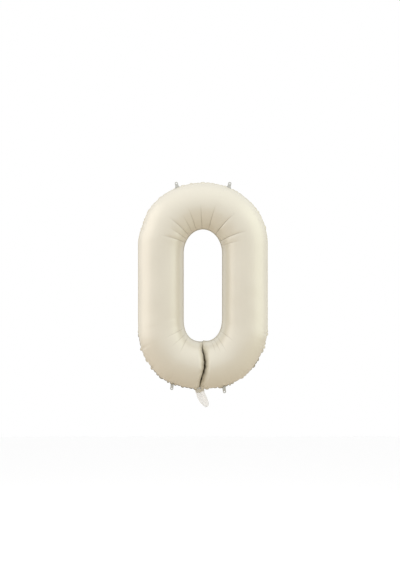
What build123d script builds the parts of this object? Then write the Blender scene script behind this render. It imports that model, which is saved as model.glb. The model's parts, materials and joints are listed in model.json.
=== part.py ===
"""Foil number balloon, the digit zero, inflated.

Two foil panels are heat-sealed to each other round the outside and round the hole. Four hanging tabs and
a filling tail grow from the outer seam, and a self-sealing valve of two films lies inside the neck.

Millimetres, +Z up, the front towards -Y and the seams in the plane Y = 0. The origin is the neck: the
point on the outer seam's edge where the tail begins.
"""

import os
from math import cos, radians, sin, sqrt

from build123d import *

# The zero, inflated
overall_width = 542.0  # outer seam edge to outer seam edge
overall_height = 864.0  # the same, top to bottom, without tabs and tail
limb_diameter = 184.0  # of the inflated tube, over the film
seam_width = 4.0  # welded border, outside the tube and inside the hole
film = 0.4  # one ply of foil
neck_shift = 14.0  # how far the neck lies left of the zero's middle

# The neck, and the valve that lies flat in it
neck_width = 28.0  # the stretch of outer seam that is left unwelded
neck_gap = 0.8  # between the panels there
valve_side_gap = 1.0  # between the valve and the weld on each side of the neck
valve_length = 78.0
valve_film = 0.3  # one ply of the valve

# Hanging tabs
tab_width = 13.0
tab_root_width = 28.0
tab_flare = 10.0  # length over which the root narrows to the tab
tab_hole_radius = 2.5
tab_hole_from_tip = 8.5
tab_clearance = 0.6  # between a tab's root and the seam edge, so that it can flex

# Filling tail
tail_length = 68.0
tail_root_width = 38.0
tail_mouth_width = 30.0
tail_margin = 3.0  # welded along each side
tail_mouth_bow = 4.0  # how far each ply bows out at the mouth
tail_root_bow = 0.1
tail_slant = 22.0  # degrees to the right of straight down
tail_clearance = 1.6  # between the tail's root and the seam edge

# Worked out
tube_radius = limb_diameter / 2
seam_radius = overall_width / 2  # of the outer seam's edge, round both ends
ring_radius = seam_radius - seam_width - tube_radius  # of the tube's centreline, round both ends
limb_length = overall_height - overall_width  # of the straight stretches
valve_width = neck_width - 2 * valve_side_gap
low_bend = (neck_shift, 0, sqrt(seam_radius**2 - neck_shift**2))
high_bend = (neck_shift, 0, low_bend[2] + limb_length)

# Each tab: the bend it grows from, its root's distance right of the zero's middle, its lean in degrees
# clockwise from straight up, and how far it stands out of the seam
tabs = {
    "top_left_tab": (high_bend, -107.0, -12.0, 27.0),
    "top_right_tab": (high_bend, 108.0, 14.0, 27.0),
    "bottom_left_tab": (low_bend, -127.0, 186.0, 36.0),
    "bottom_right_tab": (low_bend, 87.0, 172.0, 32.0),
}


def face_plane(origin, lean=0.0):
    """The plane seen from the front, its Y axis leaning clockwise from straight up."""
    angle = radians(lean)
    return Plane(origin=origin, x_dir=(cos(angle), 0, -sin(angle)), z_dir=(0, -1, 0))


def panel_section():
    """Draws one panel across a limb: half a ring of film and its two seam borders, on the -Y side."""
    Circle(tube_radius)
    Circle(tube_radius - film, mode=Mode.SUBTRACT)
    Rectangle(2 * tube_radius, tube_radius, align=(Align.CENTER, Align.MIN), mode=Mode.SUBTRACT)
    border = seam_width + film / 2
    with GridLocations(2 * tube_radius - film + border, 0, 2, 1):
        Rectangle(border, film, align=(Align.CENTER, Align.MAX))


def clear_seam(bend, clearance):
    """Cuts away what lies inside a bend's seam edge, or outside it by less than the clearance."""
    with BuildSketch(face_plane(bend)) as disc:
        Circle(seam_radius + clearance)
    extrude(disc.sketch, amount=tube_radius, both=True, mode=Mode.SUBTRACT)


def neck_sector(width, outer_radius, inner_radius):
    """A stretch of the lower seam that wide, centred on the neck."""
    with BuildSketch(face_plane(low_bend)) as sector:
        Circle(outer_radius)
        Circle(inner_radius, mode=Mode.SUBTRACT)
        with Locations((-neck_shift, 0)):
            Rectangle(width, outer_radius, align=(Align.CENTER, Align.MAX), mode=Mode.INTERSECT)
    return sector.sketch


def make_panel():
    """The front panel, with its half of the neck standing out from the seam plane by the neck's gap."""
    with BuildPart() as panel:
        for side in (-1, 1):
            with BuildSketch(Plane((neck_shift + side * ring_radius, 0, low_bend[2]))):
                panel_section()
            extrude(amount=limb_length)
        for bend, turn in ((low_bend, 1), (high_bend, -1)):
            with BuildSketch(Plane((neck_shift + ring_radius, 0, bend[2]))):
                panel_section()
            revolve(axis=Axis(bend, (0, turn, 0)), revolution_arc=180)
        weld_radius = seam_radius - seam_width
        raised = neck_sector(neck_width + 2 * film, seam_radius, weld_radius - film / 2)
        extrude(raised, amount=neck_gap / 2 + film)
        passage = neck_sector(neck_width, seam_radius + film, weld_radius - 2 * film)
        extrude(passage, amount=neck_gap / 2, mode=Mode.SUBTRACT)
    return panel


def make_valve_film():
    """The valve's front film: flat against the front panel's half of the neck, and on into the tube."""
    with BuildPart() as valve:
        with BuildSketch(face_plane((0, -neck_gap / 2 + valve_film, seam_width / 2))):
            Rectangle(valve_width, valve_length, align=(Align.CENTER, Align.MIN))
        extrude(amount=valve_film)
    return valve


def tab_root(bend, offset):
    """The point on a bend's seam edge that far right of the zero's middle."""
    rise = sqrt(seam_radius**2 - offset**2)
    return (neck_shift + offset, 0, bend[2] + (rise if bend is high_bend else -rise))


def make_tab(bend, offset, lean, reach):
    """A hanging tab: two plies welded into one, with a round end and a hole."""
    shoulder = reach - tab_width / 2
    with BuildPart() as tab:
        with BuildSketch(face_plane(tab_root(bend, offset), lean)):
            with BuildLine():
                Polyline(
                    (-tab_root_width / 2, -tab_flare),
                    (tab_root_width / 2, -tab_flare),
                    (tab_root_width / 2, 0),
                    (tab_width / 2, tab_flare),
                    (tab_width / 2, shoulder),
                    (-tab_width / 2, shoulder),
                    (-tab_width / 2, tab_flare),
                    (-tab_root_width / 2, 0),
                    close=True,
                )
            make_face()
            with Locations((0, shoulder)):
                Circle(tab_width / 2)
            with Locations((0, reach - tab_hole_from_tip)):
                Circle(tab_hole_radius, mode=Mode.SUBTRACT)
        extrude(amount=film, both=True)
        clear_seam(bend, tab_clearance)
    return tab


def ply_section(width, bow):
    """Draws one ply across the tail: two welded margins, and a bow between them on the front side."""
    half = width / 2
    bowed = half - tail_margin
    with BuildLine() as outline:
        Polyline((-bowed, 0), (-half, 0), (-half, film), (-bowed, film))
        ThreePointArc((-bowed, film), (0, bow + film), (bowed, film))
        Polyline((bowed, film), (half, film), (half, 0), (bowed, 0))
        ThreePointArc((bowed, 0), (0, bow), (-bowed, 0))
    make_face(outline.edges())


def make_tail_ply():
    """The tail's front ply: flat at the neck and bowed at its open mouth."""
    slant = radians(tail_slant)
    down = Vector(sin(slant), 0, -cos(slant))
    across = (cos(slant), 0, sin(slant))
    overrun = tail_root_width * sin(slant)  # so that the slanted strip reaches the seam at both sides
    share = overrun / tail_length
    with BuildPart() as ply:
        with BuildSketch(Plane(down * -overrun, x_dir=across, z_dir=down)):
            ply_section(tail_root_width + share * (tail_root_width - tail_mouth_width), tail_root_bow)
        with BuildSketch(Plane(down * tail_length, x_dir=across, z_dir=down)):
            ply_section(tail_mouth_width, tail_mouth_bow)
        loft(ruled=True)
        clear_seam(low_bend, tail_clearance)
    return ply


def export(solid, name):
    """Writes one piece under its own name."""
    solid.label = name
    export_step(solid, f"parts/{name}.step")


os.makedirs("parts", exist_ok=True)

front_panel = make_panel()
valve_front_film = make_valve_film()
tail_front_ply = make_tail_ply()
for front, name in (
    (front_panel, "{}_panel"),
    (valve_front_film, "valve_{}_film"),
    (tail_front_ply, "tail_{}_ply"),
):
    export(front.part, name.format("front"))
    with BuildPart() as back:
        mirror(front.part, about=Plane.XZ)
    export(back.part, name.format("back"))

for name, dimensions in tabs.items():
    export(make_tab(*dimensions).part, name)
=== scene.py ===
"""The looks of a foil number balloon, the digit zero, filled and held up by its neck.

Each piece of film is made here: the two printed panels with the folds, creases and pleats that a filled foil
balloon has, the hanging tabs, the filling tail and the valve inside the neck. Lengths are in metres.
"""

import json
import math

import bpy
import numpy as np
from bpy.props import FloatProperty, FloatVectorProperty, IntProperty, PointerProperty
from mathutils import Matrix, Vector


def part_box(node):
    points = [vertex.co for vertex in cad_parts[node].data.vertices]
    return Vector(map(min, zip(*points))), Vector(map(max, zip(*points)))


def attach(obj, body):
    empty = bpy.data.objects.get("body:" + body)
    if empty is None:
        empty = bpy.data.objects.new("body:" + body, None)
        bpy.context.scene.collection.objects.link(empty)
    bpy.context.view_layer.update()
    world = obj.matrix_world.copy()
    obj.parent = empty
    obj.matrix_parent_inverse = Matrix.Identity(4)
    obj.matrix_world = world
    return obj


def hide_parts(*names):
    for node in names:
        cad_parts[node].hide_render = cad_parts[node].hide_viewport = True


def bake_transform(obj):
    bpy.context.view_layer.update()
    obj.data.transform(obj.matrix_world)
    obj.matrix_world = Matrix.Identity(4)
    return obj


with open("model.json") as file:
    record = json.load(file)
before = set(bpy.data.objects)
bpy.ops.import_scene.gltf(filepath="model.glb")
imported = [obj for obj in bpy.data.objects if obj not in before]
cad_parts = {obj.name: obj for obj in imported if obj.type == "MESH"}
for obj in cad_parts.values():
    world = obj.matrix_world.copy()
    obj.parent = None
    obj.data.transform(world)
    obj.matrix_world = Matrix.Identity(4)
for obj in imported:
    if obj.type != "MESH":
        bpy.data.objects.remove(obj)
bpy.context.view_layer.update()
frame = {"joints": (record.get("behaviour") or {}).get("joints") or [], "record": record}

bl_info = {
    "name": "Foil Number Balloon",
    "version": (1, 0, 0),
    "blender": (4, 5, 0),
    "location": "3D View > Sidebar > Balloon",
    "description": "Makes the film pieces of a foil balloon in the shape of a zero",
    "category": "Add Mesh",
}

MM = 0.001
FRONT = -1.0  # the front panel bulges towards -Y
BACK = 1.0

# The zero's box, from the frame
panel_low, panel_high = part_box("front_panel")
middle_x = (panel_low.x + panel_high.x) / 2
middle_z = (panel_low.z + panel_high.z) / 2
half_width = (panel_high.x - panel_low.x) / 2
half_height = (panel_high.z - panel_low.z) / 2
joints = {joint["name"]: joint for joint in frame["joints"]}
mounts = {mount["name"]: mount for mount in frame["record"]["mounts"]}

# How finely the panels are meshed
LOW_BEND_COLUMNS = 360
HIGH_BEND_COLUMNS = 340
LIMB_COLUMNS = 56
ACROSS_ROWS = 52
FOLD_CROWD = 0.7  # how much closer together the lines across the film are at the deep fold

# How finely a ply of the tail and a film of the valve are meshed: lines across it, and points on each
TAIL_GRID = (90, 41)
VALVE_GRID = (40, 13)

CREST = 91 * MM  # how far each panel stands out in front of or behind the seam

# How square the ends are, outside and in the hole: 2 is an ellipse
OUTER_SQUARE = {-1: 2.1, 1: 2.03}
HOLE_SQUARE = {-1: 2.4, 1: 2.0}

# Where the outer seam stands out of that line: degrees right of straight down or up, the stretch's half width
# in degrees, and millimetres outwards
OUTLINE_SHIFTS = {-1: [(-37, 10, 5.5), (64, 16, -5.5)], 1: [(-71, 12, -5.5)]}

# The deep fold's line: share of the way from the hole to the outer seam, and millimetres right of the middle
FOLD_POINTS = [
    (0, -3.5),
    (0.1, 1),
    (0.25, 6),
    (0.4, 8.5),
    (0.5, 8),
    (0.6, 6),
    (0.75, 0.5),
    (0.9, -7.5),
    (1, -13),
]
FOLD_BENDS = 5  # degree of the curve that smooths those points
FOLD_PULL = 70 * MM  # how far on each side the film follows the fold's line
# How wide the fold stands open along that way, where 1 is the whole fold gap
FOLD_GAPS = [(0, 0.3), (0.3, 0.65), (0.6, 0.95), (0.8, 0.95), (1, 0.7)]
BACK_FOLD = 0.8  # how deep the back panel's fold is beside the front panel's
HOLE_TUCK = 4.5 * MM  # how far the hole's seam is drawn up on the right of the fold

# How strongly the outer seam is gathered round the bottom and the top, and how far that begins up the limbs
LOW_GATHER = 1.5
HIGH_GATHER = 0.8
GATHER_UP = 45 * MM

# The pleats' random heights and lengths, from the least to the most, as shares of their sizes in the sidebar
PLEAT_HEIGHTS = (0.1, 1.4)
PLEAT_LENGTHS = (0.5, 1.7)
PLEAT_ROUND = 2.6  # how flat a pleat's back is, where 2 is a parabola
PLEAT_VALLEY = 0.45  # how far the valleys sink below the smooth film, as a share of the pleat depth
PLEAT_EDGE = 0.3  # the share of its reach over which a pleat rises out of the seam
# How many times in a metre of seam the pleats' pitch, the border's wave and the pleats' painted shade change
PITCH_CHANGES = 14.0
WAVE_CHANGES = 45.0
SHADE_CHANGES = 11.0

PAINTED_SHADOW_COLOUR = (0.105, 0.078, 0.02)  # painted shadow: the colour that painted shade darkens the film towards, as in the bottom of the deep fold

# Painted shade: how dark the creases are, then the gathered border at the bottom, the rest of the outer
# border and the border round the hole, where 1 is the painted shadow in the bottom of the deep fold
CREASE_SHADE = 0.35
RIM_SHADE = 0.9
RIM_DARK = 65 * MM  # how far left of the middle the gathered border's painted shade is darkest, and how far that reaches
SIDE_SHADE = 0.02
HOLE_SHADE = 0.32

# Creases round the hole's ends: degrees from straight up or down at the hole and at the far end, how far
# they run as a share of the way to the outer seam, and their strength
TOP_CREASES = [
    (-59, -68, 0.60, 0.9),
    (-49, -53, 0.45, 0.7),
    (-38, -44, 0.62, 1.0),
    (-27, -28, 0.44, 0.7),
    (-16, -18, 0.53, 0.9),
    (-2, -3, 0.56, 0.9),
    (13, 15, 0.58, 1.0),
    (33, 39, 0.64, 1.1),
    (55, 64, 0.65, 1.1),
    (68, 72, 0.47, 0.5),
]
BOTTOM_CREASES = [
    (-61, -62, 0.50, 0.55),
    (-47, -48, 0.46, 0.5),
    (-38, -33, 0.42, 0.65),
    (53, 53, 0.40, 0.55),
    (37, 34, 0.38, 0.55),
    (28, 26, 0.34, 0.55),
    (21, 18, 0.30, 0.55),
]

# Each film's finish: its roughness, how metallic it is, and the scale and height in metres of its crinkles
FINISHES = {
    "satin_print": (0.36, 0.25, 60.0, 0.0001),
    "silver_film": (0.3, 0.6, 160.0, 0.0004),
    "frosted_film": (0.25, 0.0, 40.0, 0.0001),
    "clear_film": (0.2, 0.0, 120.0, 0.0003),
}
TONE_AMOUNT = 0.05  # how much a film's colour varies
TONE_SCALE = 9.0  # how many patches of it there are to a metre
CRINKLE_SHARPNESS = 0.8
# How solid a film looks, where nothing shows through at 1
FROST_ALPHA = 0.25  # one ply of the tail
PRINT_ALPHA = 0.75  # one ply of the tail under the panels' print
CLEAR_ALPHA = 0.6  # one film of the valve

# The stage
FLOOR_Z = -0.62
FLOOR_REACH = 6.0  # from the middle to each side
FLOOR_SEEN = (0.95, 0.95, 0.95)
FLOOR_BOUNCE = (0.58, 0.51, 0.42)  # the colour that the floor throws back at the balloon
# The even light's strength from above and below, and the share of it that comes from in front and behind
WORLD_ABOVE = 1.12
WORLD_BELOW = 0.92
WORLD_FRONT = 0.84
WORLD_BEHIND = 0.75
# Softboxes: name, degrees round from the front, height above the middle, distance, width, height, glow, tint
SOFTBOXES = [
    ("left_box", -88, 0.5, 1.9, 2.1, 2.6, 0.5, (1.0, 0.9, 0.88)),
    ("right_box", 80, 0.4, 1.9, 1.9, 2.6, 0.38, (0.88, 1.0, 0.8)),
    ("top_box", 0, 2.1, 0.5, 2.6, 2.0, 0.05, (1.0, 0.985, 0.985)),
]
SENSOR = 36.0  # in millimetres, as Blender's cameras have it
CAMERA_AWAY = 9.0
FRAMED_HEIGHT = 2.381  # what the picture's height takes in at the balloon
CAMERA_LEFT = 12 * MM
CAMERA_UP = 4 * MM

# The neck
NECK_HALF = 17 * MM
NECK_BULGE = 0.6 * MM  # how far each panel stands out over the valve

# Tabs
TAB_WIDTH = 14 * MM
TAB_ROOT_WIDTH = 24 * MM
TAB_FLARE = 9 * MM
TAB_TUCK = 3 * MM  # how far the root runs in over the seam's border

# The tail: its lean in degrees and its width in millimetres, from the neck at 0 to the mouth at 1
TAIL_LENGTH = 80 * MM
TAIL_TUCK = 3 * MM  # how far the root runs up into the neck
TAIL_LEAN = [(0, 6), (0.25, 16), (0.5, 30), (0.8, 30), (1, 28)]
TAIL_WIDTHS = [(0, 38), (0.1, 37), (0.3, 37), (0.6, 36), (0.85, 27), (1, 14)]
PRINT_END = 8 * MM  # how far down the tail the panels' print runs
# Wrinkles down the tail: place across it at the neck and at the mouth, from -1 to 1, and how dark the shade
# painted along each is
TAIL_WRINKLES = [
    (-0.8, -0.7, 0.16),
    (-0.25, -0.5, 0.2),
    (0.1, -0.15, 0.1),
    (0.45, 0.9, 0.14),
    (0.97, 1.0, 0.2),
]
WRINKLE_WIDTH = 0.09  # half width, where the tail's half width is 1


def size(name, description, default):
    """A size in metres for the sidebar."""
    return FloatProperty(
        name=name, description=description, default=default, unit="LENGTH", subtype="DISTANCE"
    )


def number(name, description, default):
    """A plain number for the sidebar."""
    return FloatProperty(name=name, description=description, default=default)


def colour(name, description, default):
    """A colour for the sidebar."""
    return FloatVectorProperty(
        name=name, description=description, default=default, size=3, min=0.0, max=1.0, subtype="COLOR"
    )


class BalloonShape(bpy.types.PropertyGroup):
    """Sizes of the filled zero."""

    hole_half_width: size("Hole half width", "From the zero's middle to the inner seam", 80 * MM)
    hole_above: size("Hole above middle", "From the zero's middle up to the inner seam", 236 * MM)
    hole_below: size("Hole below middle", "From the zero's middle down to the inner seam", 232 * MM)
    hole_end: size("Hole end height", "Height of the hole's round top and bottom", 100 * MM)
    top_end: size("Top end height", "Height over which the outside rounds in at the top", 255 * MM)
    bottom_end: size("Bottom end height", "Height over which it rounds in at the bottom", 247 * MM)
    border: size("Seam border", "Width of the welded border", 4 * MM)
    film: size("Film thickness", "Thickness of each film", 0.25 * MM)


class BalloonFolds(bpy.types.PropertyGroup):
    """Sizes of the folds, creases and pleats in the film."""

    fold_depth: number("Fold depth", "Depth of the deep fold as a share of the limb's radius", 0.6)
    fold_gap: size("Fold gap", "Half width of the slit between the fold's sides", 2.0 * MM)
    fold_left: size("Fold left", "Width of the fold's rounded left side", 24 * MM)
    fold_right: size("Fold right", "Width of the fold's rounded right side", 28 * MM)
    crease_depth: size("Crease depth", "Depth of the creases round the hole's ends", 2.7 * MM)
    crease_width: size("Crease width", "Half width of a crease's sharp line", 1.7 * MM)
    pleat_pitch: size("Pleat pitch", "Mean width of a pleat along the outer seam", 18 * MM)
    pleat_depth: size("Pleat depth", "Height of a pleat", 3.2 * MM)
    pleat_reach: size("Pleat reach", "How far pleats run in from the seam", 22 * MM)
    scallop: size("Scallop", "How far pleats draw the seam in", 3.8 * MM)
    wave: size("Wave", "How far the seam's border waves to the front and back", 2.0 * MM)
    # Painted shade in the pleats' valleys
    shade: number("Pleat shade", "How dark the valleys between pleats are, where 1 is the deep fold", 0.25)
    seed: IntProperty(name="Seed", description="Seed of the pleats' uneven sizes", default=7)


class BalloonColours(bpy.types.PropertyGroup):
    """Colours of the films."""

    printed: colour("Printed foil", "The panels' cream print", (0.785, 0.748, 0.64))
    silver: colour("Bare film", "The tabs' unprinted film", (0.55, 0.55, 0.51))
    tail: colour("Tail film", "The tail's frosted film", (0.98, 0.97, 0.94))
    valve: colour("Valve film", "The valve's clear film", (0.85, 0.87, 0.88))


# Node trees


def add_node(tree, kind, inputs=None, **settings):
    """Adds a node, sets it, and gives its inputs a value or a link."""
    node = tree.nodes.new(kind)
    for key, value in settings.items():  # a group's tree comes first, because it makes the inputs
        setattr(node, key, value)
    for key, value in (inputs or {}).items():
        if isinstance(value, bpy.types.NodeSocket):
            tree.links.new(value, node.inputs[key])
        else:
            node.inputs[key].default_value = value
    return node


def calc(tree, operation, *values):
    """A Math node's result."""
    return add_node(tree, "ShaderNodeMath", dict(enumerate(values)), operation=operation).outputs[0]


def scaled(tree, vector, factor):
    """A vector times a number."""
    node = add_node(tree, "ShaderNodeVectorMath", {0: vector, "Scale": factor}, operation="SCALE")
    return node.outputs["Vector"]


def added(tree, first, second):
    """The sum of two vectors."""
    return add_node(tree, "ShaderNodeVectorMath", {0: first, 1: second}, operation="ADD").outputs["Vector"]


def new_tree(name, kind, inputs, outputs):
    """A node group with those named sockets, its input node and its output node."""
    tree = bpy.data.node_groups.new(name, kind)
    for direction, sockets in (("INPUT", inputs), ("OUTPUT", outputs)):
        for socket_name, socket_type in sockets:
            tree.interface.new_socket(socket_name, in_out=direction, socket_type="NodeSocket" + socket_type)
    return tree, tree.nodes.new("NodeGroupInput").outputs, tree.nodes.new("NodeGroupOutput").inputs


def random_share(tree, limits, cell, seed):
    """A random number between two limits for each cell."""
    inputs = {2: limits[0], 3: limits[1], "ID": cell, "Seed": seed}
    return add_node(tree, "FunctionNodeRandomValue", inputs, data_type="FLOAT").outputs[1]


def wander(tree, along, scale):
    """A smooth uneven number along the seam, from -1 to 1."""
    inputs = {"W": along, "Scale": scale, "Detail": 1.0}
    noise = add_node(tree, "ShaderNodeTexNoise", inputs, noise_dimensions="1D")
    return calc(tree, "MULTIPLY_ADD", noise.outputs[0], 2.0, -1.0)


def faded(tree, distance, reach):
    """1 at no distance, and falling away over the reach."""
    return calc(tree, "EXPONENT", calc(tree, "DIVIDE", calc(tree, "MULTIPLY", distance, -1.0), reach))


def pleat_tree():
    """Gathers a panel's outer seam into pleats, which draw the seam in and die away across the panel, and
    paints shade into the valleys between them.
    """
    tree, given, result = new_tree(
        "seam_pleats",
        "GeometryNodeTree",
        [
            ("Geometry", "Geometry"),
            ("Pitch", "Float"),
            ("Depth", "Float"),
            ("Reach", "Float"),
            ("Scallop", "Float"),
            ("Wave", "Float"),
            ("Shade", "Float"),
            ("Seed", "Int"),
            ("Own Seed", "Int"),
            ("Material", "Material"),
        ],
        [("Geometry", "Geometry")],
    )

    def attribute(name, data_type="FLOAT"):
        node = add_node(tree, "GeometryNodeInputNamedAttribute", {"Name": name}, data_type=data_type)
        return node.outputs["Attribute"]

    along, inwards, gather = attribute("along"), attribute("inwards"), attribute("gather")
    even = calc(tree, "DIVIDE", along, given["Pitch"])
    place = calc(tree, "ADD", even, wander(tree, along, PITCH_CHANGES))
    cell = calc(tree, "FLOOR", place)
    off_centre = calc(tree, "ABSOLUTE", calc(tree, "MULTIPLY_ADD", calc(tree, "FRACT", place), 2.0, -1.0))
    pillow = calc(tree, "SUBTRACT", 1.0, calc(tree, "POWER", off_centre, PLEAT_ROUND))
    full = calc(tree, "MULTIPLY", pillow, random_share(tree, PLEAT_HEIGHTS, cell, given["Seed"]))
    own_share = random_share(tree, PLEAT_LENGTHS, cell, given["Own Seed"])
    own_reach = calc(tree, "MULTIPLY", given["Reach"], own_share)
    ridge = calc(tree, "MULTIPLY", full, faded(tree, inwards, own_reach))
    valley = calc(tree, "MULTIPLY", faded(tree, inwards, given["Reach"]), PLEAT_VALLEY)
    short = calc(tree, "MULTIPLY", given["Reach"], PLEAT_EDGE)
    rise = calc(tree, "SUBTRACT", 1.0, faded(tree, inwards, short))
    lift = calc(tree, "MULTIPLY", calc(tree, "SUBTRACT", ridge, valley), rise)
    lift = calc(tree, "MULTIPLY", calc(tree, "MULTIPLY", lift, given["Depth"]), gather)
    edge = calc(tree, "MULTIPLY", faded(tree, inwards, short), gather)
    draw = calc(tree, "MULTIPLY", calc(tree, "SUBTRACT", full, 0.6), given["Scallop"])
    sway = calc(tree, "MULTIPLY", wander(tree, along, WAVE_CHANGES), given["Wave"])
    sway_vector = add_node(tree, "ShaderNodeCombineXYZ", {"Y": calc(tree, "MULTIPLY", sway, edge)}).outputs[0]
    normal = tree.nodes.new("GeometryNodeInputNormal").outputs["Normal"]
    offset = added(tree, scaled(tree, normal, lift), sway_vector)
    outwards = attribute("outwards", "FLOAT_VECTOR")
    offset = added(tree, offset, scaled(tree, outwards, calc(tree, "MULTIPLY", draw, edge)))
    # Painted shade in the valleys between pleats, patchy along the seam, kept with the panel's other painted
    # shade
    valley_shade = calc(tree, "POWER", calc(tree, "SUBTRACT", 1.0, pillow), 3.0)
    uneven = calc(tree, "MULTIPLY_ADD", wander(tree, along, SHADE_CHANGES), 2.4, 0.7)
    patchy = calc(tree, "MAXIMUM", uneven, 0.0)
    valley_shade = calc(tree, "MULTIPLY", calc(tree, "MULTIPLY", valley_shade, edge), given["Shade"])
    valley_shade = calc(tree, "MULTIPLY", valley_shade, patchy)
    shade = calc(tree, "MAXIMUM", attribute("painted_shade"), valley_shade)
    kept = {"Geometry": given["Geometry"], "Name": "painted_shade", "Value": shade}
    shaded = add_node(tree, "GeometryNodeStoreNamedAttribute", kept, data_type="FLOAT", domain="POINT")
    moved = add_node(tree, "GeometryNodeSetPosition", {"Geometry": shaded.outputs[0], "Offset": offset})
    real = add_node(tree, "GeometryNodeRealizeInstances", {"Geometry": moved.outputs[0]})
    finish = {"Geometry": real.outputs[0], "Material": given["Material"]}
    done = add_node(tree, "GeometryNodeSetMaterial", finish)
    tree.links.new(done.outputs[0], result["Geometry"])
    return tree


def applied(piece, name):
    """The piece as a plain mesh, with its modifiers carried out, under its final name."""
    graph = bpy.context.evaluated_depsgraph_get()
    mesh = bpy.data.meshes.new_from_object(piece.evaluated_get(graph), depsgraph=graph)
    for attribute_name in ("along", "inwards", "gather", "outwards"):
        attribute = mesh.attributes.get(attribute_name)
        if attribute:
            mesh.attributes.remove(attribute)
    bpy.data.objects.remove(piece)
    mesh.name = name
    made = bpy.data.objects.new(name, mesh)
    bpy.context.scene.collection.objects.link(made)
    return made


def run_tree(piece, tree, values):
    """Adds a Geometry Nodes modifier with its named inputs set."""
    modifier = piece.modifiers.new(tree.name, "NODES")
    modifier.node_group = tree
    for item in tree.interface.items_tree:
        if item.in_out == "INPUT" and item.name in values:
            modifier[item.identifier] = values[item.name]


def thickened(piece, film, offset):
    """Gives a sheet its thickness."""
    solid = piece.modifiers.new("film", "SOLIDIFY")
    solid.thickness = film
    solid.offset = offset
    solid.use_even_offset = False


def mesh_object(name, points, faces):
    """An object from points and faces."""
    mesh = bpy.data.meshes.new(name)
    mesh.from_pydata([tuple(p) for p in points], [], faces)
    mesh.update()
    mesh.polygons.foreach_set("use_smooth", [True] * len(mesh.polygons))
    piece = bpy.data.objects.new(name, mesh)
    bpy.context.scene.collection.objects.link(piece)
    return piece


def grid_faces(columns, rows, closed=False, flip=False):
    """Quads of a grid numbered column by column."""
    faces = []
    for i in range(columns if closed else columns - 1):
        for j in range(rows - 1):
            a, b = i * rows + j, ((i + 1) % columns) * rows + j
            quad = (a, a + 1, b + 1, b)
            faces.append(quad[::-1] if flip else quad)
    return faces


def store(mesh, name, values):
    """Keeps a number or a vector for each point."""
    values = np.asarray(values, np.float32)
    kind = "FLOAT_VECTOR" if values.ndim == 2 else "FLOAT"
    attribute = mesh.attributes.new(name, kind, "POINT")
    attribute.data.foreach_set("vector" if values.ndim == 2 else "value", values.ravel())


# The inflated panels


def smoothstep(x):
    """0 below 0, 1 above 1, and a smooth rise between."""
    x = np.clip(x, 0.0, 1.0)
    return x * x * (3 - 2 * x)


def bend_angles(count, crowd):
    """Angles from a bend's left end to its right, closer together in the middle where crowd is near 1."""
    fine = np.linspace(-1, 1, 4001)
    passed = np.cumsum(1 / (1 - crowd * np.exp(-((fine / 0.1) ** 2))))
    passed = (passed - passed[0]) / (passed[-1] - passed[0])
    return np.interp(np.linspace(0, 1, count, endpoint=False), passed, fine) * math.pi / 2


def squared(angle, power):
    """A point on a round end of unit size, squarer where the power is above 2."""
    across, up = math.sin(angle), max(math.cos(angle), 0.0)
    size = (abs(across) ** power + up**power) ** (-1 / power)
    return across * size, up * size


def outline_shift(way, angle):
    """How far out of its even line the outer seam stands at one angle of a bend."""
    degrees = math.degrees(angle)
    shift = sum(out * math.exp(-(((degrees - at) / spread) ** 2)) for at, spread, out in OUTLINE_SHIFTS[way])
    return shift * MM * smoothstep(math.cos(angle) / 0.25)


def ring_columns(shape):
    """The lines across the film, once round the zero: where each starts and ends, its bend and its angle.

    The bend is -1 at the bottom, 1 at the top and 0 on a limb, and the angle is from straight down or up.
    """
    wide, hole, end = half_width, shape.hole_half_width, shape.hole_end
    low_out, low_in = half_height - shape.bottom_end, shape.hole_below - end
    high_out, high_in = half_height - shape.top_end, shape.hole_above - end
    low, high = bend_angles(LOW_BEND_COLUMNS, FOLD_CROWD), -bend_angles(HIGH_BEND_COLUMNS, 0.0)
    columns = []
    for way, angles, out_end, out_z, in_z, next_out, next_in in (
        (-1, low, shape.bottom_end, low_out, low_in, high_out, high_in),
        (1, high, shape.top_end, high_out, high_in, low_out, low_in),
    ):
        for a in angles:
            outer_x, outer_z = squared(a, OUTER_SQUARE[way])
            inner_x, inner_z = squared(a, HOLE_SQUARE[way])
            shift = outline_shift(way, a)
            outer_up = out_z + out_end * outer_z + shift * math.cos(a)
            outer = (wide * outer_x + shift * math.sin(a), way * outer_up)
            inner = (hole * inner_x, way * (in_z + end * inner_z))
            columns.append((*outer, *inner, way, a))
        for share in np.linspace(0, 1, LIMB_COLUMNS, endpoint=False):
            outer = (-way * wide, way * (out_z - share * (out_z + next_out)))
            inner = (-way * hole, way * (in_z - share * (in_z + next_in)))
            columns.append((*outer, *inner, 0, -way * math.pi / 2))
    return np.array(columns)


def fold_line(share):
    """How far right of the middle the deep fold lies, from the hole at 0 to the outer seam at 1."""
    curve = np.polynomial.Polynomial.fit(*np.array(FOLD_POINTS).T, FOLD_BENDS)
    return curve(share) * MM


def fold_round(beside, share, folds):
    """The fold's rounded sides: 1 in the fold, and 0 past its sides."""
    reach = np.where(beside < 0, folds.fold_left, folds.fold_right)
    side = np.sign(beside)
    ragged = 0.8 * MM * np.sin(share * 34 + 2 * side) + 0.5 * MM * np.sin(share * 71 + side)
    gap = folds.fold_gap * np.interp(share, *np.array(FOLD_GAPS).T) + ragged
    near = np.clip(1 - (np.abs(beside) - gap) / reach, 0, 1)
    return 1 - np.sqrt(1 - near**2)


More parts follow.
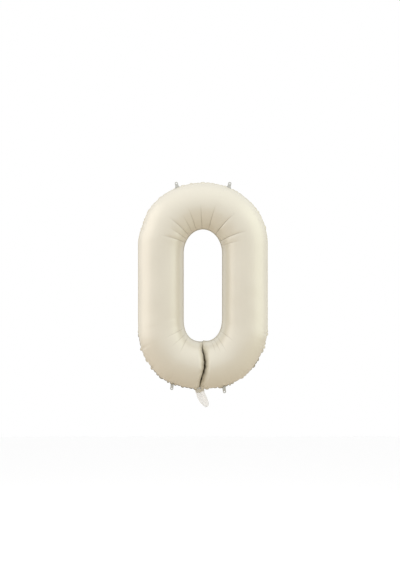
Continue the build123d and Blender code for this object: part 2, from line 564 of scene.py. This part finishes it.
def crease_dent(x, z, share, bend, creases, shape, folds):
    """How deep the creases round one end of the hole lie below the smooth film, and the shade painted along
    their lines.
    """
    centre = (shape.hole_above if bend > 0 else shape.hole_below) - shape.hole_end
    up = bend * z - centre
    around, reach = np.degrees(np.arctan2(x, up)), np.hypot(x, up)
    dent, line_shade = np.zeros_like(x), np.zeros_like(x)
    for at_hole, at_end, run, strength in creases:
        line = at_hole + (at_end - at_hole) * np.clip(share / run, 0, 1)
        beside = np.radians(around - line) * reach
        fade = smoothstep((run - share) / (0.6 * run)) * smoothstep((share + 0.03) / 0.12)
        sharp = np.exp(-np.abs(beside) / folds.crease_width)
        soft = np.exp(-((beside / (5 * folds.crease_width)) ** 2))
        dent += strength * fade * (0.6 * sharp + 0.4 * soft)
        line_shade = np.maximum(line_shade, strength * fade * np.exp(-((beside / folds.crease_width) ** 2)))
    return folds.crease_depth * dent, line_shade


def film_section(border):
    """From the outer seam in to the hole: the angle round the tube, and how far out of it the border is."""
    even = np.linspace(0, 1, ACROSS_ROWS)
    turn = math.pi * (even - 0.2 * np.sin(2 * math.pi * even) / (2 * math.pi))
    turn = np.concatenate([[0, 0], turn, [math.pi, math.pi]])
    outer = np.array([1.0, 0.5]) * border
    beyond = np.concatenate([outer, np.zeros(ACROSS_ROWS), -outer[::-1]])
    return turn[None, :], beyond[None, :]


def gathering(seam_z, shape):
    """How strongly the outer seam is gathered at each height."""
    from_low = np.where(seam_z < 0, -half_height + shape.bottom_end + GATHER_UP - seam_z, 0)
    from_high = np.where(seam_z > 0, seam_z - half_height + shape.top_end, 0)
    low = LOW_GATHER * smoothstep(from_low / (2 * GATHER_UP))
    return low + HIGH_GATHER * smoothstep(from_high / GATHER_UP)


def outer_border_shade(x, along, gather):
    """How dark the painted shade on the outer border is: patchy, and only where it is gathered strongly."""
    patchy = 0.6 + 0.6 * np.sin(along * 29 + 1.3 * np.sin(along * 11))
    patchy = np.clip(patchy + np.exp(-(((x + RIM_DARK) / RIM_DARK) ** 2)), 0.1, 1.2)
    return RIM_SHADE * np.clip(gather - HIGH_GATHER, 0, 1) * patchy + SIDE_SHADE


def panel_points(side, shape, folds):
    """A panel's points, column by column, what its pleats need to know about each, and the shade painted on
    each.
    """
    columns = ring_columns(shape)
    outer, inner = columns[:, 0:2], columns[:, 2:4]
    bend, angle = columns[:, 4, None], columns[:, 5, None]
    step = np.linalg.norm(np.roll(outer, -1, 0) - outer, axis=1)
    along = np.concatenate([[0], np.cumsum(step)[:-1]])
    across = outer - inner
    span = np.linalg.norm(across, axis=1, keepdims=True)
    out = across / span
    radius = span / 2 - shape.border
    turn, beyond = film_section(shape.border)

    middle = (outer + inner) / 2
    flat = radius * np.cos(turn)
    x = middle[:, 0, None] + out[:, 0, None] * flat
    share = 0.5 + (flat + beyond) / span
    folded = fold_round(x, share, folds) * (bend < 0)
    if side == BACK:
        folded = BACK_FOLD * folded
    held = 0.14 * share**2 + (1 - 0.14 * share**2) * np.abs(np.sin(turn)) ** 0.7
    kept = 1 - folds.fold_depth * folded * held
    flat = flat * kept + beyond
    deep = CREST * kept * np.sin(turn)
    x = middle[:, 0, None] + out[:, 0, None] * flat
    z = middle[:, 1, None] + out[:, 1, None] * flat
    near_fold = np.exp(-((x / FOLD_PULL) ** 2)) * smoothstep(np.cos(angle) / 0.6) * (bend < 0)

    # Painted shade: darkest in the bottom of the deep fold, then along the creases' lines
    dent, painted_shade = np.zeros_like(x), smoothstep((folded - 0.6) / 0.3) * smoothstep(share / 0.06)
    for way, creases in ((1, TOP_CREASES), (-1, BOTTOM_CREASES)):
        end_dent, line_shade = crease_dent(side * -x, z, share, way, creases, shape, folds)
        dent += end_dent * (bend == way)
        painted_shade = np.maximum(painted_shade, CREASE_SHADE * line_shade * (bend == way))
    normal_out, normal_deep = np.cos(turn), np.sin(turn)
    swell = undulation(along[:, None], turn, side) * np.sin(turn)
    lift = swell - dent * (beyond == 0)
    x = x + out[:, 0, None] * normal_out * lift + fold_line(share) * near_fold
    z = z + out[:, 1, None] * normal_out * lift
    deep = deep + normal_deep * lift
    beside = x - fold_line(share)
    hole_tuck = smoothstep(beside / (6 * MM)) * np.exp(-((beside / (20 * MM)) ** 2)) * (1 - share) ** 6
    z = z + HOLE_TUCK * hole_tuck * (bend < 0)

    inwards = np.where(beyond > 0, 0, radius * turn)
    at_neck = np.exp(-(((x + middle_x) / NECK_HALF) ** 4)) * (z < 0) * np.exp(-inwards / (12 * MM))
    y = side * (shape.film + deep + NECK_BULGE * at_neck * (share > 0.5))
    gather = gathering(z[:, :1], shape) + 0 * turn
    # Painted shade on the seam's borders: patchy on the gathered outer border, and round the hole, stronger
    # beside the fold
    beside_fold = np.exp(-((beside / (18 * MM)) ** 2)) * (bend < 0)
    rim = outer_border_shade(x, along[:, None], gather) * (beyond > 0)
    rim = rim + HOLE_SHADE * (1 + beside_fold) * (beyond < 0)
    points = np.stack([x + middle_x, y + 0 * x, z + middle_z], -1)
    outwards = np.stack([out[:, 0, None] + 0 * x, 0 * x, out[:, 1, None] + 0 * x], -1)
    values = {
        "along": along[:, None] + 0 * x,
        "inwards": inwards,
        "gather": gather,
        "outwards": outwards,
        "painted_shade": np.maximum(painted_shade, rim),
    }
    return points, values


def undulation(along, turn, side):
    """The slight uneven swell of the filled film."""
    slow = np.sin(along * 21 + side) * np.sin(1.5 * turn + 0.8 * side)
    quick = np.sin(along * 47 + 2.1 * side + 1.3 * np.sin(along * 13)) * np.sin(2.5 * turn + side)
    return (0.7 * slow + 0.4 * quick) * MM


def make_panel(name, node, side, tree, material):
    """One printed panel, its pleats gathered and its film given its thickness."""
    shape, folds = bpy.context.scene.balloon_shape, bpy.context.scene.balloon_folds
    points, values = panel_points(side, shape, folds)
    count, rows = points.shape[:2]
    faces = grid_faces(count, rows, closed=True, flip=side == BACK)
    panel = mesh_object(name + "_draft", points.reshape(-1, 3), faces)
    for key, value in values.items():
        store(panel.data, key, value.reshape(count * rows, *value.shape[2:]))
    panel.data.materials.append(material)
    run_tree(
        panel,
        tree,
        {
            "Pitch": folds.pleat_pitch,
            "Depth": folds.pleat_depth,
            "Reach": folds.pleat_reach,
            "Scallop": folds.scallop,
            "Wave": folds.wave,
            "Shade": folds.shade,
            "Seed": folds.seed,
            "Own Seed": folds.seed + 11 * (2 + int(side)),
            "Material": material,
        },
    )
    thickened(panel, shape.film, -1)
    panel = applied(panel, name)
    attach(panel, "envelope")
    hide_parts(node)


# Tabs, tail and valve


def tab_frame(name):
    """A tab's root, the direction along it, the direction away from the seam, and its hole's place."""
    joint, hole = joints[name + "_flap"], mounts[name + "_hole"]
    root, line = Vector(joint["pos_m"]), Vector(joint["axis"])
    away = line.cross(Vector((0, -1, 0))) * -1
    spot = Vector(hole["pos_m"]) - root
    return root, line, away, Vector((spot.dot(line), spot.dot(away))), hole["dims"]["r_mm"] * MM


def tab_outline(hole):
    """Points round a tab, from one end of its root to the other and back."""
    slope = hole.x / hole.y
    half, root = TAB_WIDTH / 2, TAB_ROOT_WIDTH / 2

    def side_points(side, shares):
        """Points down one side: share 0 is beside the hole, and 1 at the root."""
        points = []
        for share in shares:
            q = hole.y * (1 - share) - TAB_TUCK * share
            flare = (root - half) * smoothstep((TAB_FLARE - q) / (TAB_FLARE + TAB_TUCK)) ** 1.3
            points.append((slope * q + side * (half + flare), q))
        return points

    end = [(hole.x + half * math.cos(a), hole.y + half * math.sin(a)) for a in np.linspace(0, math.pi, 25)]
    left = side_points(-1, np.linspace(0, 1, 14)[1:])
    base = [(share * root - slope * TAB_TUCK, -TAB_TUCK) for share in np.linspace(-1, 1, 13)[1:-1]]
    right = side_points(1, np.linspace(1, 0, 14)[:-1])
    return np.array(end + left + base + right)


def make_tab(name, material):
    """One hanging tab: a strip of film with a flared root, a round end and a hole, slightly curled."""
    shape = bpy.context.scene.balloon_shape
    root, line, away, hole, hole_radius = tab_frame(name)
    outline = tab_outline(hole)
    centre = np.array(hole)
    towards = outline - centre
    rim = centre + towards / np.linalg.norm(towards, axis=1, keepdims=True) * hole_radius
    rings = [rim + (outline - rim) * share for share in np.linspace(0, 1, 15) ** 0.8]
    flat = np.array(rings).swapaxes(0, 1).reshape(-1, 2)
    seed = len(name)
    curl = 2.0 * MM * np.clip(flat[:, 1] / hole.y, 0, 2) ** 2 * math.sin(seed)
    crinkle = 0.35 * MM * np.sin(flat[:, 0] * 520 + seed) * np.sin(flat[:, 1] * 390 + 2 * seed)
    bulge = (curl + crinkle) * smoothstep((flat[:, 1] - 1 * MM) / (5 * MM))
    points = []
    for (p, q), b in zip(flat, bulge):
        points.append(root + line * float(p) + away * float(q) + Vector((0, float(b), 0)))
    tab = mesh_object(name + "_draft", points, grid_faces(len(outline), len(rings), closed=True))
    tab.data.materials.append(material)
    thickened(tab, 2 * shape.film, 0)
    tab = applied(tab, name + "_tab_film")
    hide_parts(name + "_tab")
    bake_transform(tab)


def tail_line(count):
    """The tail's middle line, and its direction across, from inside the neck to the mouth."""
    down = np.linspace(0, 1, count)
    lean = np.radians(np.interp(down, *np.array(TAIL_LEAN).T))
    step = (TAIL_LENGTH + TAIL_TUCK) / (count - 1)
    x = np.concatenate([[0], np.cumsum(np.sin(lean[:-1]))]) * step
    z = TAIL_TUCK - np.concatenate([[0], np.cumsum(np.cos(lean[:-1]))]) * step
    return x, z, lean


def tail_width(down):
    """The tail's width in metres, from the neck at 0 to the mouth at 1."""
    return np.interp(down, *np.array(TAIL_WIDTHS).T) * MM


def tail_points(side, down, across):
    """A ply's points, crinkled, bowed out towards the mouth and with a curled corner."""
    x, z, lean = (v[:, None] for v in tail_line(len(down)))
    half = tail_width(down) / 2
    mouth = smoothstep((down - 0.15) / 0.85)
    bow = (0.5 + 2.6 * mouth) * (1 - across**2) * MM
    waves = np.sin(across * 4.2 + 2.2 * down + 0.6) * 1.9 + np.sin(down * 9 + across * 3.4) * 1.5
    waves = waves + np.sin(across * 8 - down * 12) * 0.5
    shared = waves * smoothstep((down - 0.04) / 0.3) * MM
    own = 0.4 * (1 + np.sin(across * 6 + down * (13 + 4 * side) + side)) * (1 - across**2)
    own = own * smoothstep(down / 0.3) * MM
    corner = np.clip((across + down - 1.55) / 0.45, 0, 1)
    curl = corner**2 * 9 * MM
    px = x + half * across * np.cos(lean)
    y = side * (0.1 * MM + bow + own) + shared - curl
    pz = z + half * across * np.sin(lean) + curl * 0.5
    return np.stack([px, y, pz], -1).reshape(-1, 3)


def print_mask(side, down, across):
    """Where the panels' print covers the tail: 1 down to its bowed edge, and 0 below."""
    edge = PRINT_END + 5 * MM * (1 - across**2) - 1.5 * MM * np.sin(across * 4 + side)
    below_neck = down * (TAIL_LENGTH + TAIL_TUCK) - TAIL_TUCK
    return smoothstep((edge - below_neck) / (1.2 * MM) + 0.5)


def wrinkle_shade(down, across):
    """How dark the shade painted along the wrinkles down the tail is."""
    wrinkled = 0 * across * down
    for at, end, dark in TAIL_WRINKLES:
        beside = (across - at - (end - at) * down) / WRINKLE_WIDTH
        wrinkled = np.maximum(wrinkled, dark * np.exp(-(beside**2)))
    return wrinkled * smoothstep((down - 0.1) / 0.1)


def make_tail_ply(name, node, side, material):
    """One ply of the tail, with its print at the neck and painted shade along its wrinkles."""
    shape = bpy.context.scene.balloon_shape
    count, rows = TAIL_GRID
    down, across = np.linspace(0, 1, count)[:, None], np.linspace(-1, 1, rows)[None, :]
    faces = grid_faces(count, rows, flip=side == FRONT)
    ply = mesh_object(name + "_draft", tail_points(side, down, across), faces)
    store(ply.data, "printed", print_mask(side, down, across).reshape(-1))
    # Painted shade along the tail's wrinkles
    store(ply.data, "painted_shade", wrinkle_shade(down, across).reshape(-1))
    ply.data.materials.append(material)
    thickened(ply, shape.film * 0.8, 1)
    ply = applied(ply, name)
    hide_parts(node)
    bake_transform(ply)


def make_valve_film(name, node, side, material):
    """One film of the valve: flat in the neck and a little wavy inside the tube."""
    shape = bpy.context.scene.balloon_shape
    low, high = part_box(node)
    count, rows = VALVE_GRID
    up = np.linspace(0, 1, count)[:, None]
    q = np.linspace(-1, 1, rows)[None, :]
    half = (high.x - low.x) / 2 * (1 - 0.35 * np.clip((up - 0.9) / 0.1, 0, 1) ** 2)
    x = (low.x + high.x) / 2 + half * q
    z = low.z + (high.z - low.z) * up + 0 * q
    wave = np.sin(up * 7 + q) * 3 * MM * smoothstep((up - 0.1) / 0.6)
    y = wave + side * (0.12 + 0.5 * smoothstep((up - 0.1) / 0.5) * (1 - q**2)) * MM
    points = np.stack([x, y, z], -1).reshape(-1, 3)
    film = mesh_object(name + "_draft", points, grid_faces(count, rows, flip=side == BACK))
    film.data.materials.append(material)
    thickened(film, shape.film * 0.6, 1)
    film = applied(film, name)
    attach(film, "envelope")
    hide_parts(node)


# Materials


def tone_group():
    """Slight unevenness in a film's colour and gloss, and painted shade that darkens its colour towards the
    painted shadow colour.
    """
    tree, given, result = new_tree(
        "film_tone",
        "ShaderNodeTree",
        [
            ("Color", "Color"),
            ("Amount", "Float"),
            ("Scale", "Float"),
            ("Roughness", "Float"),
            ("Painted Shade", "Float"),
        ],
        [("Color", "Color"), ("Roughness", "Float")],
    )
    spot = tree.nodes.new("ShaderNodeTexCoord").outputs["Object"]
    blotches = {"Vector": spot, "Scale": given["Scale"], "Detail": 4.0}
    noise = add_node(tree, "ShaderNodeTexNoise", blotches).outputs[0]
    centred = calc(tree, "SUBTRACT", noise, 0.5)
    value = calc(tree, "MULTIPLY_ADD", centred, given["Amount"], 1.0)
    hsv = add_node(tree, "ShaderNodeHueSaturation", {"Color": given["Color"], "Value": value})
    # Painted shade: the shade factor darkens the colour towards the painted shadow colour
    shades = {"Factor": given["Painted Shade"], 6: hsv.outputs[0], 7: (*PAINTED_SHADOW_COLOUR, 1)}
    tree.links.new(add_node(tree, "ShaderNodeMix", shades, data_type="RGBA").outputs[2], result["Color"])
    rough = calc(tree, "MULTIPLY_ADD", centred, 0.12, given["Roughness"])
    tree.links.new(rough, result["Roughness"])
    return tree


def crinkle_group():
    """The fine crinkles of thin film, as a height for a Bump node."""
    tree, given, result = new_tree(
        "film_crinkle",
        "ShaderNodeTree",
        [("Scale", "Float"), ("Sharpness", "Float")],
        [("Height", "Float")],
    )
    spot = tree.nodes.new("ShaderNodeTexCoord").outputs["Object"]
    uneven = {"Vector": spot, "Scale": given["Scale"], "Detail": 3.0, "Distortion": 0.6}
    noise = add_node(tree, "ShaderNodeTexNoise", uneven)
    ridge = calc(tree, "ABSOLUTE", calc(tree, "SUBTRACT", noise.outputs[0], 0.5))
    height = calc(tree, "POWER", calc(tree, "MULTIPLY", ridge, 2.0), given["Sharpness"])
    tree.links.new(height, result["Height"])
    return tree


def shared_groups():
    """The two node groups that every film uses, built once."""
    groups = bpy.data.node_groups
    return groups.get("film_tone") or tone_group(), groups.get("film_crinkle") or crinkle_group()


def film_material(name, base, alpha=1.0):
    """A film's material: a colour with slight unevenness, its gloss, its fine crinkles and the painted shade
    from its attribute.
    """
    tone, crinkle = shared_groups()
    roughness, metallic, crinkle_scale, crinkle_height = FINISHES[name]
    material = bpy.data.materials.new(name)
    material.use_nodes = True
    tree = material.node_tree
    shader = tree.nodes["Principled BSDF"]
    own = {"Color": (*base, 1.0), "Amount": TONE_AMOUNT, "Scale": TONE_SCALE, "Roughness": roughness}
    toned = add_node(tree, "ShaderNodeGroup", own, node_tree=tone)
    tree.links.new(toned.outputs["Color"], shader.inputs["Base Color"])
    tree.links.new(toned.outputs["Roughness"], shader.inputs["Roughness"])
    fine = {"Scale": crinkle_scale, "Sharpness": CRINKLE_SHARPNESS}
    creased = add_node(tree, "ShaderNodeGroup", fine, node_tree=crinkle)
    bump = add_node(tree, "ShaderNodeBump", {"Height": creased.outputs[0], "Distance": crinkle_height})
    tree.links.new(bump.outputs[0], shader.inputs["Normal"])
    # The attribute read here holds painted shade, which darkens the film where folds, creases, pleats and
    # borders lie in shade
    painted_shade = add_node(tree, "ShaderNodeAttribute", attribute_name="painted_shade").outputs["Fac"]
    tree.links.new(painted_shade, toned.inputs["Painted Shade"])
    shader.inputs["Metallic"].default_value = metallic
    shader.inputs["Alpha"].default_value = alpha
    return material, tree, shader, toned


def printed_foil():
    """Satin cream print over metallised film."""
    return film_material("satin_print", bpy.context.scene.balloon_colours.printed)[0]


def bare_film():
    """Unprinted silvery film."""
    return film_material("silver_film", bpy.context.scene.balloon_colours.silver)[0]


def tail_film():
    """Frosted film, with the panel's print running on over its root."""
    colours = bpy.context.scene.balloon_colours
    material, tree, shader, toned = film_material("frosted_film", colours.tail)
    printed = add_node(tree, "ShaderNodeAttribute", attribute_name="printed").outputs["Fac"]
    tints = {"Factor": printed, 6: (*colours.tail, 1.0), 7: (*colours.printed, 1.0)}
    mix = add_node(tree, "ShaderNodeMix", tints, data_type="RGBA")
    tree.links.new(mix.outputs[2], toned.inputs["Color"])
    alpha = calc(tree, "MULTIPLY_ADD", printed, PRINT_ALPHA - FROST_ALPHA, FROST_ALPHA)
    tree.links.new(alpha, shader.inputs["Alpha"])
    return material


def valve_film():
    """Clear soft film."""
    return film_material("clear_film", bpy.context.scene.balloon_colours.valve, alpha=CLEAR_ALPHA)[0]


# Stage


def make_floor():
    """A plain pale floor, well below the balloon."""
    corners = [(FLOOR_REACH * x, FLOOR_REACH * y, FLOOR_Z) for x, y in ((-1, -1), (1, -1), (1, 1), (-1, 1))]
    floor = mesh_object("floor", corners, [(0, 1, 2, 3)])
    material = bpy.data.materials.new("floor")
    material.use_nodes = True
    tree = material.node_tree
    shader = tree.nodes["Principled BSDF"]
    shader.inputs["Roughness"].default_value = 0.8
    seen = add_node(tree, "ShaderNodeLightPath").outputs["Is Camera Ray"]
    shades = {"Factor": seen, 6: (*FLOOR_BOUNCE, 1), 7: (*FLOOR_SEEN, 1)}
    shade = add_node(tree, "ShaderNodeMix", shades, data_type="RGBA").outputs[2]
    tree.links.new(shade, shader.inputs["Base Color"])
    floor.data.materials.append(material)


def make_softbox(name, place, target, wide, high, power, tint):
    """A soft area light that faces a point and isn't seen itself."""
    light = bpy.data.lights.new(name, "AREA")
    light.shape = "RECTANGLE"
    light.size = wide
    light.size_y = high
    light.energy = power
    light.color = tint
    lamp = bpy.data.objects.new(name, light)
    lamp.location = place
    lamp.rotation_mode = "QUATERNION"
    lamp.rotation_quaternion = (Vector(place) - Vector(target)).to_track_quat("Z", "Y")
    lamp.visible_camera = False
    bpy.context.scene.collection.objects.link(lamp)


def make_world():
    """White behind everything, and even light that is a little weaker from below, the front and behind."""
    world = bpy.data.worlds.new("studio")
    bpy.context.scene.world = world
    world.use_nodes = True
    tree = world.node_tree
    tree.nodes.clear()
    way = tree.nodes.new("ShaderNodeTexCoord").outputs["Generated"]
    axes = add_node(tree, "ShaderNodeSeparateXYZ", {0: way}).outputs

    def eased(axis, start, end, at_start, at_end):
        """A strength that changes evenly between two places along an axis."""
        places = {"Value": axes[axis], 1: start, 2: end, 3: at_start, 4: at_end}
        return add_node(tree, "ShaderNodeMapRange", places).outputs[0]

    level = eased("Z", -0.6, 0.5, WORLD_BELOW, WORLD_ABOVE)
    back = eased("Y", 0.1, 0.7, 1.0, WORLD_BEHIND)
    front = eased("Y", -1.0, -0.75, WORLD_FRONT, 1.0)
    level = calc(tree, "MULTIPLY", calc(tree, "MULTIPLY", level, back), front)
    seen = add_node(tree, "ShaderNodeLightPath").outputs["Is Camera Ray"]
    strength = add_node(tree, "ShaderNodeMix", {0: seen, 2: level, 3: 1.0}).outputs[0]
    light = add_node(tree, "ShaderNodeBackground", {"Color": (1, 1, 1, 1), "Strength": strength})
    result = tree.nodes.new("ShaderNodeOutputWorld")
    tree.links.new(light.outputs[0], result.inputs[0])


def make_lights():
    """Soft studio light: even light all round, a tall box on each side and a weak one above."""
    make_world()
    target = (middle_x, 0, middle_z)
    for name, around, height, away, wide, high, glow, tint in SOFTBOXES:
        a = math.radians(around)
        place = (middle_x + away * math.sin(a), -away * math.cos(a), middle_z + height)
        make_softbox(name, place, target, wide, high, glow * math.pi * wide * high, tint)
    bpy.context.scene.view_settings.view_transform = "Standard"


def make_camera():
    """A long lens level with the middle of the zero."""
    data = bpy.data.cameras.new("camera")
    data.sensor_width = SENSOR
    data.lens = SENSOR * CAMERA_AWAY / FRAMED_HEIGHT
    camera = bpy.data.objects.new("camera", data)
    camera.location = (middle_x - CAMERA_LEFT, -CAMERA_AWAY, middle_z + CAMERA_UP)
    camera.rotation_euler = (math.pi / 2, 0, 0)
    bpy.context.scene.collection.objects.link(camera)
    bpy.context.scene.camera = camera


# Operators


class MakePanels(bpy.types.Operator):
    """Make the two printed panels of the filled zero"""

    bl_idname = "balloon.make_panels"
    bl_label = "Panels"

    def execute(self, context):
        tree, material = pleat_tree(), printed_foil()
        make_panel("front_panel_foil", "front_panel", FRONT, tree, material)
        make_panel("back_panel_foil", "back_panel", BACK, tree, material)
        return {"FINISHED"}


class MakeTabs(bpy.types.Operator):
    """Make the four hanging tabs on the outer seam"""

    bl_idname = "balloon.make_tabs"
    bl_label = "Tabs"

    def execute(self, context):
        material = bare_film()
        for name in ("top_left", "top_right", "bottom_left", "bottom_right"):
            make_tab(name, material)
        return {"FINISHED"}


class MakeTail(bpy.types.Operator):
    """Make the two plies of the filling tail"""

    bl_idname = "balloon.make_tail"
    bl_label = "Tail"

    def execute(self, context):
        material = tail_film()
        make_tail_ply("tail_front_film", "tail_front_ply", FRONT, material)
        make_tail_ply("tail_back_film", "tail_back_ply", BACK, material)
        return {"FINISHED"}


class MakeValve(bpy.types.Operator):
    """Make the two films of the valve inside the neck"""

    bl_idname = "balloon.make_valve"
    bl_label = "Valve"

    def execute(self, context):
        material = valve_film()
        make_valve_film("valve_front_sheet", "valve_front_film", FRONT, material)
        make_valve_film("valve_back_sheet", "valve_back_film", BACK, material)
        return {"FINISHED"}


class MakeStage(bpy.types.Operator):
    """Make the floor, the lights and the camera"""

    bl_idname = "balloon.make_stage"
    bl_label = "Stage"

    def execute(self, context):
        make_floor()
        make_lights()
        make_camera()
        return {"FINISHED"}


class BalloonPanel(bpy.types.Panel):
    """The balloon's pieces, sizes and colours in the sidebar"""

    bl_idname = "VIEW3D_PT_balloon"
    bl_label = "Foil Number Balloon"
    bl_space_type = "VIEW_3D"
    bl_region_type = "UI"
    bl_category = "Balloon"

    def draw(self, context):
        for name in GROUPS:
            group = getattr(context.scene, name)
            box = self.layout.box()
            for key in group.__annotations__:
                box.prop(group, key)
        for operator in MAKERS:
            self.layout.operator(operator.bl_idname)


GROUPS = {"balloon_shape": BalloonShape, "balloon_folds": BalloonFolds, "balloon_colours": BalloonColours}
MAKERS = (MakeStage, MakePanels, MakeTabs, MakeTail, MakeValve)


def register():
    """Makes the sizes, the operators and the sidebar panel known to Blender."""
    for part in (*GROUPS.values(), *MAKERS, BalloonPanel):
        bpy.utils.register_class(part)
    for key, group in GROUPS.items():
        setattr(bpy.types.Scene, key, PointerProperty(type=group))


def unregister():
    """Undoes register."""
    for key in GROUPS:
        delattr(bpy.types.Scene, key)
    for part in (BalloonPanel, *reversed(MAKERS), *GROUPS.values()):
        bpy.utils.unregister_class(part)


def main():
    """Makes the stage and every piece."""
    register()
    for operator in MAKERS:
        group, name = operator.bl_idname.split(".")
        getattr(getattr(bpy.ops, group), name)()


if __name__ == "__main__":
    main()
